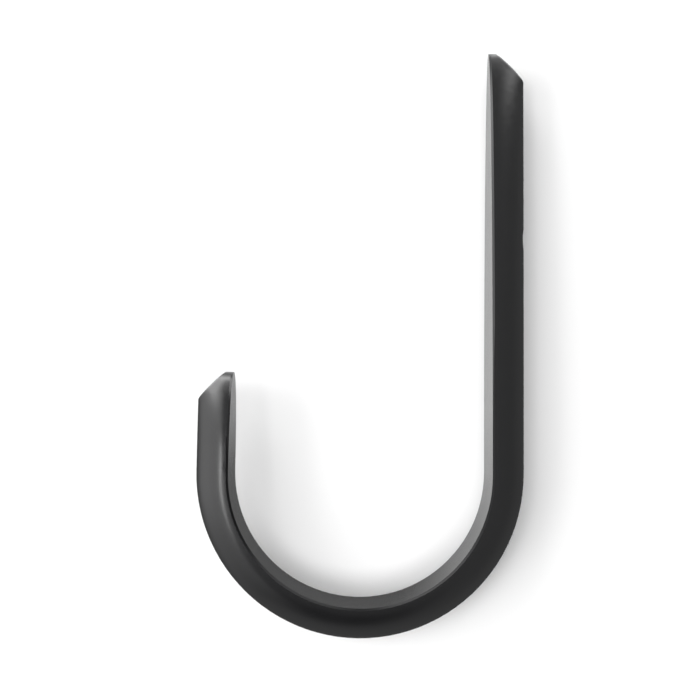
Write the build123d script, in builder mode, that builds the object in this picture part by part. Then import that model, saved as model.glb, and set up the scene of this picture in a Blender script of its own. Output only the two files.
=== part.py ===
from build123d import *

import os
from math import asin, cos, degrees, pi, radians, sin, sqrt, tan

# Wall hook: a half-round bar bent to a J, with leaf-shaped ends cut off at a slant.
# The long leg stands on the wall, the short leg is at the front.
# X runs across the bar, the wall is the plane Y = 0, the hook reaches out to -Y, and Z is up.
# The origin is where the axis of the fixing hole meets the wall. All sizes are in millimetres.

# The bar: flat inside, round outside, with the edges of the flat just broken
bar_width = 12.0
bar_thickness = 6.0
flat_edge_chamfer = 0.35

# The bend, measured to the flat inner face, in millimetres and degrees.
# It turns a little past half round, so the short leg leans in
bend_radius = 22.0
bend_turn = 181.4

# The two legs, measured along the bar from the ends of the bend to the tips
long_leg = 72.0
short_leg = 17.0

# How each leg narrows to its tip: how straight its edge starts, as a share of the leg,
# and how full it is towards the tip, as a share of the width
long_taper = (0.60, 0.55)
short_taper = (0.12, 0.97)

# The slant at the tips
nose_thickness = 1.4
slant_angle = 46.0
slant_rim_radius = 0.5

# The fixing hole in the back of the long leg: blind, drilled and tapped M4
hole_height = 40.0
tap_drill_radius = 1.65
metal_under_hole = 1.0
drill_point_angle = 118.0
mouth_chamfer = 0.5

# Places worked out from the sizes above
half_width = bar_width / 2
flat_y = -bar_thickness
bend_y = flat_y - bend_radius
bend_z = -hole_height
bend_axis = Axis((0, bend_y, bend_z), (1, 0, 0))

# The round side is an arc through the crest and the edges of the flat. Its centre's rise over the
# flat is 0 in a true half round
crest_radius = (half_width**2 + bar_thickness**2) / (2 * bar_thickness)
crest_rise = bar_thickness - crest_radius

# The chamfer that breaks the edge ends on the flat and on the round side, which it meets at edge_turn
edge_across = half_width - flat_edge_chamfer
edge_turn = asin((flat_edge_chamfer - crest_rise) / crest_radius)


def arc_handles(across, rise, radius, start, end):
    """The three handles of an arc, each as its place across, its rise and its weight."""
    half_turn = (end - start) / 2
    middle = (start + end) / 2
    reach = radius / cos(half_turn)
    return [
        (across + radius * cos(start), rise + radius * sin(start), 1),
        (across + reach * cos(middle), rise + reach * sin(middle), cos(half_turn)),
        (across + radius * cos(end), rise + radius * sin(end), 1),
    ]


# The right half of the bar's section, from the flat up to the crest
round_side = arc_handles(0, crest_rise, crest_radius, edge_turn, pi / 2)
broken_edge = [(edge_across, 0, 1), round_side[0]]


def bar_section():
    """The section of the bar where the bend meets the long leg, with its crest to the wall."""
    side_turn = degrees(edge_turn)
    with BuildSketch(Plane.XY.offset(bend_z), mode=Mode.PRIVATE) as section:
        with BuildLine():
            side = CenterArc((0, flat_y + crest_rise), crest_radius, side_turn, 90 - side_turn)
            Line(side @ 0, (edge_across, flat_y))
            mirror(about=Plane.YZ)
            Line((edge_across, flat_y), (-edge_across, flat_y))
        make_face()
    return section.sketch


def leaf_rows(length, taper):
    """The rows of handles up a leg: the share of the bar's width, and the height over the foot."""
    straightness, fullness = taper
    return [(1, 0), (1, length * straightness), (fullness, length), (0, length)]


def leaf_surface(curve, rows):
    """The surface that one line or arc of the section makes as it narrows to the tip."""
    handles = [
        [(share * across, flat_y + rise, bend_z + height) for across, rise, _ in curve]
        for share, height in rows
    ]
    return Face.make_bezier_surface(handles, [[weight for *_, weight in curve]] * len(rows))


def leaf_solid(rows):
    """A leg from its foot to its full tip, closed by its flat face and by the section at its foot."""
    right_side = [leaf_surface(curve, rows) for curve in (broken_edge, round_side)]
    left_side = [face.mirror(Plane.YZ) for face in right_side]
    flat_edge = [(share * edge_across, bend_z + height) for share, height in rows]
    with BuildSketch(Plane.XZ.offset(-flat_y), mode=Mode.PRIVATE) as flat:
        with BuildLine():
            Bezier(*flat_edge)
            mirror(about=Plane.YZ)
            Line(flat_edge[0], (-edge_across, bend_z))
        make_face()
    return Solid(Shell([*right_side, *left_side, flat.sketch.face(), bar_section().face()]))


def slant_cut(length):
    """The wedge that the slant takes off a tip, seen from the side as places along Y and Z."""
    nose_y = flat_y + nose_thickness
    far_y = nose_y + bar_thickness
    tip_z = bend_z + length
    return [
        (nose_y, tip_z),
        (far_y, tip_z - bar_thickness * tan(radians(slant_angle))),
        (far_y, tip_z + bar_thickness),
        (nose_y, tip_z + bar_thickness),
    ]


def tipped_leg(length, taper):
    """A leg as it stands on the wall, its tip cut off at a slant and the rim of the cut softened."""
    with BuildPart() as leg:
        add(leaf_solid(leaf_rows(length, taper)))
        with BuildSketch(Plane.YZ):
            with BuildLine():
                Polyline(*slant_cut(length), close=True)
            make_face()
        extrude(amount=bar_width, both=True, mode=Mode.SUBTRACT)
        slant = leg.faces().filter_by(GeomType.PLANE).sort_by(Axis.Z)[-1]
        fillet(slant.edges(), radius=slant_rim_radius)
    return leg.part


def hole_profile():
    """Half of the hole's lengthwise section: its lead-in, its wall and its drilled point."""
    point_y = metal_under_hole - bar_thickness
    wall_end_y = point_y + tap_drill_radius / tan(radians(drill_point_angle / 2))
    return [
        (0, 0),
        (tap_drill_radius + mouth_chamfer, 0),
        (tap_drill_radius, -mouth_chamfer),
        (tap_drill_radius, wall_end_y),
        (0, point_y),
    ]


# Both legs are made on the wall. The short one is laid over to run on from the bend,
# and the bend carries it round to the front
wall_leg = tipped_leg(long_leg, long_taper)
front_leg = tipped_leg(short_leg, short_taper).mirror(Plane.XY.offset(bend_z)).rotate(bend_axis, -bend_turn)

with BuildPart() as hook:
    # The bend: the section turned round under the hook
    add(bar_section())
    revolve(axis=bend_axis, revolution_arc=-bend_turn)

    # The two legs
    add(wall_leg)
    add(front_leg)

    # The fixing hole, drilled into the crest of the long leg
    with BuildSketch(Plane.XY):
        with BuildLine():
            Polyline(*hole_profile(), close=True)
        make_face()
    revolve(axis=Axis.Y, mode=Mode.SUBTRACT)

hook.part.label = "hook"
os.makedirs("parts", exist_ok=True)
export_step(hook.part, "parts/hook.step")
print("hook", hook.part.volume, hook.part.bounding_box(), hook.part.is_valid)
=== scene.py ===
"""Looks of the wall hook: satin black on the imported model, in a plain pale studio.

Everything is in metres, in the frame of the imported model. The wall is the plane Y = 0, the hook
reaches out to -Y, Z is up, and the picture is taken from the +X side.
"""

import logging
from dataclasses import dataclass, field
from enum import Enum
from math import cos, pi, radians, sin, tan
from typing import Any

import bmesh
import bpy
from mathutils import Matrix, Vector


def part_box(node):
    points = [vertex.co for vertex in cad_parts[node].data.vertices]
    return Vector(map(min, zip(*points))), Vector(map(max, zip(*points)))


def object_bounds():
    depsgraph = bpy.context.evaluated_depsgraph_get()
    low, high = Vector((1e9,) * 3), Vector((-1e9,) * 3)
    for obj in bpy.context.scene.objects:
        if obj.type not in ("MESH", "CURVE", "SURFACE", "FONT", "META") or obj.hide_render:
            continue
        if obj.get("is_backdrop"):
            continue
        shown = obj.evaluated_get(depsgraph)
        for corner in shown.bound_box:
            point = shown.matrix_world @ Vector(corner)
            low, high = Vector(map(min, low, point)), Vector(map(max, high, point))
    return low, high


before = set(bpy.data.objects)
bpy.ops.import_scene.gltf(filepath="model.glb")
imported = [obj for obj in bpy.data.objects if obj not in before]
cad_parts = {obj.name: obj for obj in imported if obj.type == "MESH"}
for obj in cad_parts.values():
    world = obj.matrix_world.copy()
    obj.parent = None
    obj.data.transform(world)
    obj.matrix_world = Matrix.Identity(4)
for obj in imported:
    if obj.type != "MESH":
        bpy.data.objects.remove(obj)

LOG = logging.getLogger("wall_hook")

# How wide the picture is in pixels, and the camera's sensor in millimetres
PICTURE_PIXELS = 700.0
SENSOR_WIDTH = 36.0

# The middle of what a noise node gives
NOISE_MIDDLE = 0.5

# Where a Mix node keeps its two colours and its mixed colour among its sockets
FIRST_COLOUR = 6
SECOND_COLOUR = 7
MIXED_COLOUR = 2

Colour = tuple[float, float, float]
Pair = tuple[float, float]


class Value:
    """One output of a shader node, which takes part in plain arithmetic."""

    def __init__(self, shader: "Shader", socket: bpy.types.NodeSocket) -> None:
        """Wraps a socket.

        Args:
            shader: the node tree that the socket is in.
            socket: the output that is wrapped.
        """
        self.shader = shader
        self.socket = socket

    def _math(self, operation: str, *given: "Value | float") -> "Value":
        """Adds a Math node.

        Args:
            operation: the Math node's operation.
            given: the one or two values or numbers that it works on.

        Returns:
            The node's result.
        """
        return self.shader.node("ShaderNodeMath", {"operation": operation}, dict(enumerate(given)))

    def __add__(self, other: "Value | float") -> "Value":
        """Returns self + other."""
        return self._math("ADD", self, other)

    def __radd__(self, other: float) -> "Value":
        """Returns other + self."""
        return self._math("ADD", other, self)

    def __sub__(self, other: "Value | float") -> "Value":
        """Returns self - other."""
        return self._math("SUBTRACT", self, other)

    def __rsub__(self, other: float) -> "Value":
        """Returns other - self."""
        return self._math("SUBTRACT", other, self)

    def __mul__(self, other: "Value | float") -> "Value":
        """Returns self * other."""
        return self._math("MULTIPLY", self, other)

    def __rmul__(self, other: float) -> "Value":
        """Returns other * self."""
        return self._math("MULTIPLY", other, self)

    def __neg__(self) -> "Value":
        """Returns self with its sign changed."""
        return self._math("MULTIPLY", self, -1.0)

    def lower_of(self, other: "Value | float") -> "Value":
        """Returns the lower of self and other."""
        return self._math("MINIMUM", self, other)

    def higher_of(self, other: "Value | float") -> "Value":
        """Returns the higher of self and other."""
        return self._math("MAXIMUM", self, other)

    def sign(self) -> "Value":
        """Returns -1, 0 or 1, as self is below, at or above 0."""
        return self._math("SIGN", self)

    def size(self) -> "Value":
        """Returns self without its sign."""
        return self._math("ABSOLUTE", self)

    def arc_sine(self) -> "Value":
        """Returns the angle whose sine is self, in radians."""
        return self._math("ARCSINE", self)

    def arc_cosine(self) -> "Value":
        """Returns the angle whose cosine is self, in radians."""
        return self._math("ARCCOSINE", self)

    def angle_from(self, other: "Value") -> "Value":
        """Returns the angle whose tangent is self over other, in radians."""
        return self._math("ARCTAN2", self, other)

    def length_with(self, other: "Value") -> "Value":
        """Returns the length of the hypotenuse over self and other."""
        return self._math("SQRT", self * self + other * other)


class Shader:
    """A node tree that is being written."""

    def __init__(self, tree: bpy.types.NodeTree) -> None:
        """Empties the tree.

        Args:
            tree: the node tree of a material or of the world.
        """
        self.tree = tree
        tree.nodes.clear()

    def node(
        self,
        kind: str,
        settings: dict[str, Any] | None = None,
        inputs: dict[str | int, Any] | None = None,
        output: str | int = 0,
    ) -> Value:
        """Adds a node, sets it up and feeds it.

        Args:
            kind: the node's type.
            settings: the node's own settings, which are set first.
            inputs: what goes into each socket, as a number, a colour, a vector or a Value.
            output: which of its outputs is returned.

        Returns:
            That output, or the first input of a node that has no outputs.
        """
        made = self.tree.nodes.new(kind)
        for name, setting in (settings or {}).items():
            setattr(made, name, setting)
        for name, given in (inputs or {}).items():
            if isinstance(given, Value):
                self.tree.links.new(given.socket, made.inputs[name])
            else:
                made.inputs[name].default_value = given
        return Value(self, made.outputs[output] if len(made.outputs) else made.inputs[0])

    def eased(self, value: Value, start: float, end: float) -> Value:
        """Returns 0 up to the start and 1 from the end on, and eases between them."""
        return self.node(
            "ShaderNodeMapRange",
            {"interpolation_type": "SMOOTHSTEP"},
            {"Value": value, "From Min": start, "From Max": end},
        )

    def parts(self, vector: Value) -> tuple[Value, Value, Value]:
        """Returns the X, Y and Z of a vector."""
        split = self.node("ShaderNodeSeparateXYZ", inputs={"Vector": vector}).socket.node
        return tuple(Value(self, socket) for socket in split.outputs)

    def mixed(self, share: Value, first: Colour, second: Colour) -> Value:
        """Mixes two colours.

        Args:
            share: the second colour's share, from 0 to 1.
            first: the colour where the share is 0.
            second: the colour where the share is 1.

        Returns:
            The mixed colour.
        """
        return self.node(
            "ShaderNodeMix",
            {"data_type": "RGBA"},
            {"Factor": share, FIRST_COLOUR: (*first, 1.0), SECOND_COLOUR: (*second, 1.0)},
            output=MIXED_COLOUR,
        )


def new_material(name: str) -> tuple[bpy.types.Material, Shader]:
    """Makes a material whose node tree is still to be written.

    Args:
        name: the material's name.

    Returns:
        The material and its tree.
    """
    made = bpy.data.materials.new(name)
    made.use_nodes = True
    return made, Shader(made.node_tree)


@dataclass(frozen=True)
class Bar:
    """The bent bar, as far as its coating follows it.

    bend_y and bend_z are the place of the bend's centre, flat_radius is how far the bar's flat is
    from it, and half_width is half the bar's width, all in metres.
    """

    bend_y: float
    bend_z: float
    flat_radius: float
    half_width: float


@dataclass(frozen=True)
class SatinBlack:
    """The hook's coating: thin satin black that lets the brushed metal under it show faintly.

    Lengths are in metres, and shares are from 0 to 1. grain_share is what the grain counts for
    beside the clouds. smallest_drop keeps the angle round the bend defined up the legs.
    """

    deep: Colour = (0.0085, 0.0085, 0.0090)
    pale: Colour = (0.0120, 0.0120, 0.0125)
    roughness: float = 0.22
    roughness_range: float = 0.04
    specular: float = 0.5
    # The flat's edges reflect with edge_specular instead of specular, as painted shade that keeps
    # them dark
    edge_specular: float = 0.10
    edge_width: float = 0.00035
    edge_blur: float = 0.00002
    grain_width: float = 0.00022
    grain_length: float = 0.009
    grain_depth: float = 0.0000012
    grain_share: float = 0.5
    cloud_size: float = 0.004
    smallest_drop: float = 0.000001

    def along_the_bar(self, shader: Shader, bar: Bar) -> Value:
        """Coordinates that follow the bar up one leg, round the bend and up the other leg.

        Args:
            shader: the material's tree.
            bar: the bar that they follow.

        Returns:
            A vector: across the bar, away from the bend's centre, and along the bar.
        """
        place = shader.node("ShaderNodeTexCoord", output="Object")
        across, depth, height = shader.parts(place)
        outwards = depth - bar.bend_y
        over_centre = height - bar.bend_z
        below = over_centre.lower_of(-self.smallest_drop)
        distance = outwards.length_with(below)
        along_bend = outwards.angle_from(-below) * abs(bar.bend_y)
        along_leg = outwards.sign() * over_centre.higher_of(0.0)
        return shader.node(
            "ShaderNodeCombineXYZ", inputs={"X": across, "Y": distance, "Z": along_bend + along_leg}
        )

    def grain(self, shader: Shader, place: Value) -> Value:
        """Fine lines along the bar.

        Args:
            shader: the material's tree.
            place: the coordinates that follow the bar.

        Returns:
            The height of the lines, from 0 to 1.
        """
        fine = 1.0 / self.grain_width
        stretched = shader.node(
            "ShaderNodeVectorMath",
            {"operation": "MULTIPLY"},
            {0: place, 1: (fine, fine, 1.0 / self.grain_length)},
        )
        return shader.node(
            "ShaderNodeTexNoise",
            {"noise_dimensions": "3D"},
            {"Vector": stretched, "Scale": 1.0, "Detail": 3.0, "Roughness": 0.6},
        )

    def clouds(self, shader: Shader, place: Value) -> Value:
        """Returns the slow unevenness of the coating at a place, from 0 to 1."""
        return shader.node(
            "ShaderNodeTexNoise",
            {"noise_dimensions": "3D"},
            {"Vector": place, "Scale": 1.0 / self.cloud_size, "Detail": 2.0},
        )

    def painted_edge_shade(self, shader: Shader, place: Value, bar: Bar) -> Value:
        """The narrow band along the edges of the flat, where the coating reflects less: painted shade
        that keeps those edges dark.

        Args:
            shader: the material's tree.
            place: the coordinates that follow the bar.
            bar: the bar that they follow.

        Returns:
            1 on the band and 0 off it.
        """
        across, distance, _ = shader.parts(place)
        start = bar.half_width - self.edge_width
        end = bar.flat_radius + self.edge_width
        sideways = shader.eased(across.size(), start - self.edge_blur, start + self.edge_blur)
        return sideways * shader.eased(distance, end + self.edge_blur, end - self.edge_blur)

    def material(self, bar: Bar) -> bpy.types.Material:
        """Makes the coating.

        Args:
            bar: the bar that it is on.

        Returns:
            The material.
        """
        made, shader = new_material("satin_black")
        place = self.along_the_bar(shader, bar)
        lines = self.grain(shader, place)
        clouds = self.clouds(shader, place)
        tone = self.grain_share * lines + (1.0 - self.grain_share) * clouds
        unevenness = clouds - NOISE_MIDDLE + self.grain_share * (lines - NOISE_MIDDLE)
        shared = {
            "Base Color": shader.mixed(tone, self.deep, self.pale),
            "Roughness": self.roughness + self.roughness_range * unevenness,
            "Normal": shader.node(
                "ShaderNodeBump",
                inputs={"Height": lines, "Distance": self.grain_depth, "Strength": 1.0},
            ),
        }
        # The second copy reflects less and darkens the flat's edges as painted shade
        coat, shaded_edge_coat = (
            shader.node("ShaderNodeBsdfPrincipled", inputs={**shared, "Specular IOR Level": specular})
            for specular in (self.specular, self.edge_specular)
        )
        in_edge_shade = self.painted_edge_shade(shader, place, bar)
        surface = shader.node("ShaderNodeMixShader", inputs={0: in_edge_shade, 1: coat, 2: shaded_edge_coat})
        shader.node("ShaderNodeOutputMaterial", inputs={"Surface": surface})
        return made


@dataclass
class WallHook:
    """The hook itself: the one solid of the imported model, which keeps its mesh."""

    node: str = "hook"
    finish: SatinBlack = field(default_factory=SatinBlack)

    def bar(self) -> Bar:
        """Works out the bar from the node's box.

        The bend is as wide as the hook is deep, and the half-round bar is half as thick as wide.

        Returns:
            The bar.
        """
        low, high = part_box(self.node)
        half_width = (high[0] - low[0]) / 2
        bend_radius = (high[1] - low[1]) / 2
        return Bar(
            bend_y=low[1] + bend_radius,
            bend_z=low[2] + bend_radius,
            flat_radius=bend_radius - half_width,
            half_width=half_width,
        )

    def dress(self) -> bpy.types.Object:
        """Puts the coating on the node's slots.

        Returns:
            The node's object.
        """
        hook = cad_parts[self.node]
        coating = self.finish.material(self.bar())
        for slot in hook.material_slots:
            slot.material = coating
        return hook


class Side(Enum):
    """Where a lamp stands, seen from the hook, in degrees.

    The first angle is to the camera's left, and the second is the height over the horizon.
    """

    FRONT_LEFT = (16.0, 2.0)
    FRONT_LOW = (-3.0, -15.0)
    FRONT_HIGH = (0.0, 30.0)
    LEFT = (34.0, 0.0)
    FAR_LEFT = (62.0, -9.0)
    HIGH_LEFT = (43.0, 50.0)
    RIGHT = (-39.0, 16.0)


@dataclass(frozen=True)
class Lamp:
    """A soft flat lamp that faces the hook.

    width and height are the angles that it fills as seen from the hook, in degrees. radiance is
    how bright its face is, where 1 is white. The lamps cast the shadows, and the coating mirrors
    the cards of the room instead of them.
    """

    side: Side
    width: float
    height: float
    radiance: float
    distance: float = 0.6

    def place(self, target: Vector) -> bpy.types.Object:
        """Adds the lamp to the scene.

        Args:
            target: the place that it faces.

        Returns:
            The lamp's object.
        """
        left, up = (radians(angle) for angle in self.side.value)
        towards = Vector((cos(left) * cos(up), -sin(left) * cos(up), sin(up)))
        data = bpy.data.lights.new(self.side.name.lower(), "AREA")
        data.shape = "RECTANGLE"
        data.size = 2 * self.distance * tan(radians(self.width / 2))
        data.size_y = 2 * self.distance * tan(radians(self.height / 2))
        data.energy = self.radiance * pi * data.size * data.size_y
        lamp = bpy.data.objects.new(data.name, data)
        lamp.location = target + towards * self.distance
        lamp.rotation_mode = "QUATERNION"
        lamp.rotation_quaternion = towards.to_track_quat("Z", "Y")
        lamp.visible_camera = False
        lamp.visible_glossy = False
        bpy.context.scene.collection.objects.link(lamp)
        return lamp


@dataclass(frozen=True)
class Band:
    """A stretch of angles with soft edges, in degrees.

    start and end are the middles of its edges, and start_soft and end_soft are half their widths.
    """

    start: float
    end: float
    start_soft: float
    end_soft: float

    def holds(self, shader: Shader, angle: Value) -> Value:
        """Tells whether an angle is in the band.

        Args:
            shader: the world's tree.
            angle: the angle, in radians.

        Returns:
            1 in the band and 0 outside it.
        """
        start, start_soft = radians(self.start), radians(self.start_soft)
        end, end_soft = radians(self.end), radians(self.end_soft)
        rise = shader.eased(angle, start - start_soft, start + start_soft)
        return rise * shader.eased(angle, end + end_soft, end - end_soft)


@dataclass(frozen=True)
class Card:
    """A bright patch of the room with soft edges, which the coating mirrors.

    left is the band of angles to the camera's left that it fills, and up is the band of heights
    over the horizon. radiance is how bright it is, where 1 is white.
    """

    left: Band
    up: Band
    radiance: float

    def light(self, shader: Shader, left: Value, up: Value) -> Value:
        """Returns the card's light from a direction.

        Args:
            shader: the world's tree.
            left: the direction's angle to the camera's left, in radians.
            up: the direction's height over the horizon, in radians.

        Returns:
            The radiance.
        """
        return self.radiance * self.left.holds(shader, left) * self.up.holds(shader, up)


@dataclass(frozen=True)
class Room:
    """The world: plain white to the camera, a room to the coating, and an even fill to the rest.

    Radiances are as on a card, and angles are in degrees. The walls are dim, and behind the hook
    they keep only the share walls_behind: turn_behind is where they change, as the cosine of the
    angle off the camera's side. A dark gap in them has its middle at gap_left_up, as on a card,
    and gap_edge is how far from there it starts and stops to brighten.
    """

    fill: float = 0.06
    walls: float = 0.39
    walls_behind: float = 0.30
    turn_behind: Pair = (-0.95, 0.0)
    gap_left_up: Pair = (8.0, -46.0)
    gap_edge: Pair = (5.0, 40.0)
    cards: tuple[Card, ...] = (
        # The wide panel on the left, the bright strip where it starts, and its dimmer foot
        Card(left=Band(30.0, 108.0, 3.5, 38.0), up=Band(-19.0, 100.0, 13.0, 5.0), radiance=1.72),
        Card(left=Band(28.5, 33.0, 2.5, 3.5), up=Band(-12.0, 7.5, 7.0, 3.0), radiance=14.0),
        Card(left=Band(30.0, 108.0, 4.0, 38.0), up=Band(-41.0, -19.0, 13.0, 13.0), radiance=0.64),
        # The panels over the left side and over the right side, and the ceiling
        Card(left=Band(42.0, 140.0, 14.0, 30.0), up=Band(28.0, 100.0, 14.0, 5.0), radiance=5.5),
        Card(left=Band(-200.0, -36.0, 1.0, 14.0), up=Band(32.0, 100.0, 7.0, 5.0), radiance=3.6),
        Card(left=Band(-200.0, 200.0, 1.0, 1.0), up=Band(50.0, 100.0, 10.0, 5.0), radiance=0.8),
    )

    def mirrored(self, shader: Shader) -> Value:
        """The room that the coating mirrors: dim walls, darker behind and in the gap, and the cards.

        Args:
            shader: the world's tree.

        Returns:
            The radiance from each direction.
        """
        towards = shader.node("ShaderNodeTexCoord", output="Generated")
        front, away, height = shader.parts(towards)
        left = (-away).angle_from(front)
        up = height.arc_sine()
        gap_left, gap_up = (radians(angle) for angle in self.gap_left_up)
        nearness = shader.node(
            "ShaderNodeVectorMath",
            {"operation": "DOT_PRODUCT"},
            {0: towards, 1: (cos(gap_up) * cos(gap_left), -cos(gap_up) * sin(gap_left), sin(gap_up))},
            output="Value",
        )
        start, end = (radians(angle) for angle in self.gap_edge)
        beside_gap = shader.eased(nearness.arc_cosine(), start, end)
        in_front = shader.eased(front, *self.turn_behind)
        light = self.walls * (self.walls_behind + (1.0 - self.walls_behind) * in_front) * beside_gap
        for card in self.cards:
            light = light + card.light(shader, left, up)
        return light

    def world(self) -> bpy.types.World:
        """Makes the world.

        Returns:
            The world.
        """
        made = bpy.data.worlds.new("pale_room")
        made.use_nodes = True
        shader = Shader(made.node_tree)
        seen = shader.node("ShaderNodeLightPath", output="Is Camera Ray")
        mirrored = shader.node("ShaderNodeLightPath", output="Is Glossy Ray")
        unseen = mirrored * self.mirrored(shader) + (1.0 - mirrored) * self.fill
        light = shader.node(
            "ShaderNodeBackground",
            inputs={"Color": (1.0, 1.0, 1.0, 1.0), "Strength": seen + (1.0 - seen) * unseen},
        )
        shader.node("ShaderNodeOutputWorld", inputs={"Surface": light})
        bpy.context.scene.world = made
        return made


@dataclass(frozen=True)
class Paper:
    """The backdrop's finish: matt paper that shows only from the front and thins out to its rim.

    The hook mirrors the paper only between its legs, and outside it mirrors the dim room. Between the
    legs the mirrored paper lets part of the dim room through, lower down and further from the wall:
    painted shade that stands for the bend shading it from below and from the left. mirrored_reach is
    where the mirrored paper starts and is whole, as distances from the bend's centre. mirrored_light
    is its share of light in the deep shade and in the light shade. Both shades lie on a slope,
    shade_slope, and deep_shade and light_shade are where each one starts to fade and ends, as heights
    over the bend's centre. Lengths are in metres.
    """

    colour: Colour = (0.88, 0.88, 0.88)
    radius: float = 0.26
    fade: float = 0.10
    mirrored_reach: Pair = (0.0285, 0.0240)
    mirrored_light: Pair = (0.18, 0.66)
    shade_slope: float = 0.7
    deep_shade: Pair = (-0.017, -0.001)
    light_shade: Pair = (0.0, 0.028)

    def mirrored(self, shader: Shader, depth: Value, over_bend: Value) -> Value:
        """Works out how much of the paper the hook mirrors, less where painted shade lies on it.

        Args:
            shader: the material's tree.
            depth: how far a place is towards the wall from the bend's centre.
            over_bend: how far it is over the bend's centre.

        Returns:
            The share of the paper, from 0 to 1.
        """
        # Painted shade: the mirrored paper gets dimmer lower down and further from the wall
        over_shade = over_bend + self.shade_slope * depth
        deep, light = self.mirrored_light
        lit = (
            deep
            + (light - deep) * shader.eased(over_shade, *self.deep_shade)
            + (1.0 - light) * shader.eased(over_shade, *self.light_shade)
        )
        from_bend = depth.length_with(over_bend.lower_of(0.0))
        return lit * shader.eased(from_bend, *self.mirrored_reach)

    def material(self, bend_down: float) -> bpy.types.Material:
        """Makes the paper.

        Args:
            bend_down: how far the bend's centre lies under the backdrop's middle.

        Returns:
            The material.
        """
        made, shader = new_material("backdrop_paper")
        place = shader.node("ShaderNodeTexCoord", output="Object")
        _, depth, height = shader.parts(place)
        seen = shader.node("ShaderNodeLightPath", output="Is Camera Ray")
        paper_seen = shader.eased(depth.length_with(height), self.radius, self.radius - self.fade)
        paper_mirrored = self.mirrored(shader, depth, height + bend_down)
        solid = seen * paper_seen + (1.0 - seen) * paper_mirrored
        behind = shader.node("ShaderNodeNewGeometry", output="Backfacing")
        to_lamp = shader.node("ShaderNodeLightPath", output="Is Shadow Ray")
        shows = solid * (1.0 - behind) * (1.0 - to_lamp)
        clear = shader.node("ShaderNodeBsdfTransparent")
        paper = shader.node("ShaderNodeBsdfDiffuse", inputs={"Color": (*self.colour, 1.0)})
        surface = shader.node("ShaderNodeMixShader", inputs={0: shows, 1: clear, 2: paper})
        shader.node("ShaderNodeOutputMaterial", inputs={"Surface": surface})
        return made


@dataclass(frozen=True)
class Camera:
    """The camera, which looks straight along -X with its picture raised a little.

    stand is its place in metres. focal_pixels is its focal length and aim_pixels the place that
    it points at, both in pixels of the picture.
    """

    stand: tuple[float, float, float] = (0.1798, -0.0300, -0.0296)
    focal_pixels: float = 1048.7
    aim_pixels: Pair = (348.3, 413.6)
    nearest: float = 0.01
    furthest: float = 10.0

    def place(self) -> bpy.types.Object:
        """Adds the camera to the scene.

        Returns:
            The camera's object.
        """
        data = bpy.data.cameras.new("camera")
        data.sensor_width = SENSOR_WIDTH
        data.lens = self.focal_pixels * SENSOR_WIDTH / PICTURE_PIXELS
        data.shift_x = 0.5 - self.aim_pixels[0] / PICTURE_PIXELS
        data.shift_y = self.aim_pixels[1] / PICTURE_PIXELS - 0.5
        data.clip_start = self.nearest
        data.clip_end = self.furthest
        camera = bpy.data.objects.new("camera", data)
        camera.location = self.stand
        camera.rotation_mode = "QUATERNION"
        camera.rotation_quaternion = Vector((1, 0, 0)).to_track_quat("Z", "Y")
        bpy.context.scene.collection.objects.link(camera)
        bpy.context.scene.camera = camera
        return camera


@dataclass
class Studio:
    """The camera, the room, the lamps and the pale backdrop that the hook lies against.

    finish is the backdrop's, and backdrop_turn is how far it turns away, in degrees.
    """

    camera: Camera = field(default_factory=Camera)
    room: Room = field(default_factory=Room)
    finish: Paper = field(default_factory=Paper)
    backdrop_turn: float = 5.0
    lamps: tuple[Lamp, ...] = (
        Lamp(Side.FRONT_LEFT, width=20.0, height=24.0, radiance=5.4),
        Lamp(Side.FRONT_LOW, width=24.0, height=14.0, radiance=10.5),
        Lamp(Side.FRONT_HIGH, width=20.0, height=20.0, radiance=1.4),
        Lamp(Side.LEFT, width=30.0, height=34.0, radiance=2.6),
        Lamp(Side.FAR_LEFT, width=44.0, height=60.0, radiance=2.5),
        Lamp(Side.HIGH_LEFT, width=24.0, height=24.0, radiance=4.5),
        Lamp(Side.RIGHT, width=24.0, height=24.0, radiance=2.4),
    )

    def backdrop(self, low: Vector, high: Vector) -> bpy.types.Object:
        """Adds the backdrop, which touches the long leg and turns away from the short one.

        Args:
            low: the lowest corner of the hook's box.
            high: the highest corner of the hook's box.

        Returns:
            The backdrop's object, which is no part of the hook.
        """
        middle = (low + high) / 2
        bend_radius = (high.y - low.y) / 2
        mesh = bpy.data.meshes.new("backdrop")
        mesh.materials.append(self.finish.material(middle.z - low.z - bend_radius))
        shape = bmesh.new()
        bmesh.ops.create_grid(
            shape,
            x_segments=1,
            y_segments=1,
            size=self.finish.radius,
            matrix=Matrix.Rotation(radians(90), 4, "Y"),
        )
        shape.to_mesh(mesh)
        shape.free()
        paper = bpy.data.objects.new("backdrop", mesh)
        turn = radians(self.backdrop_turn)
        paper.location = (low.x - bend_radius * tan(turn), middle.y, middle.z)
        paper.rotation_euler = (0.0, 0.0, -turn)
        bpy.context.scene.collection.objects.link(paper)
        paper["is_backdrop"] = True
        return paper

    def build(self, low: Vector, high: Vector) -> None:
        """Sets up the whole studio round the hook.

        Args:
            low: the lowest corner of the hook's box.
            high: the highest corner of the hook's box.
        """
        bpy.context.scene.view_settings.view_transform = "Standard"
        self.camera.place()
        LOG.info("world %s", self.room.world().name)
        LOG.info("stage %s", self.backdrop(low, high).name)
        for lamp in self.lamps:
            LOG.info("lamp %s", lamp.place((low + high) / 2).name)


def main() -> None:
    """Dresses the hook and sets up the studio."""
    logging.basicConfig(level=logging.INFO, format="%(name)s: %(message)s")
    cad_low, cad_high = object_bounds()
    hook = WallHook().dress()
    LOG.info("piece %s, %d triangles", hook.name, len(hook.data.polygons))
    Studio().build(cad_low, cad_high)


if __name__ == "__main__":
    main()
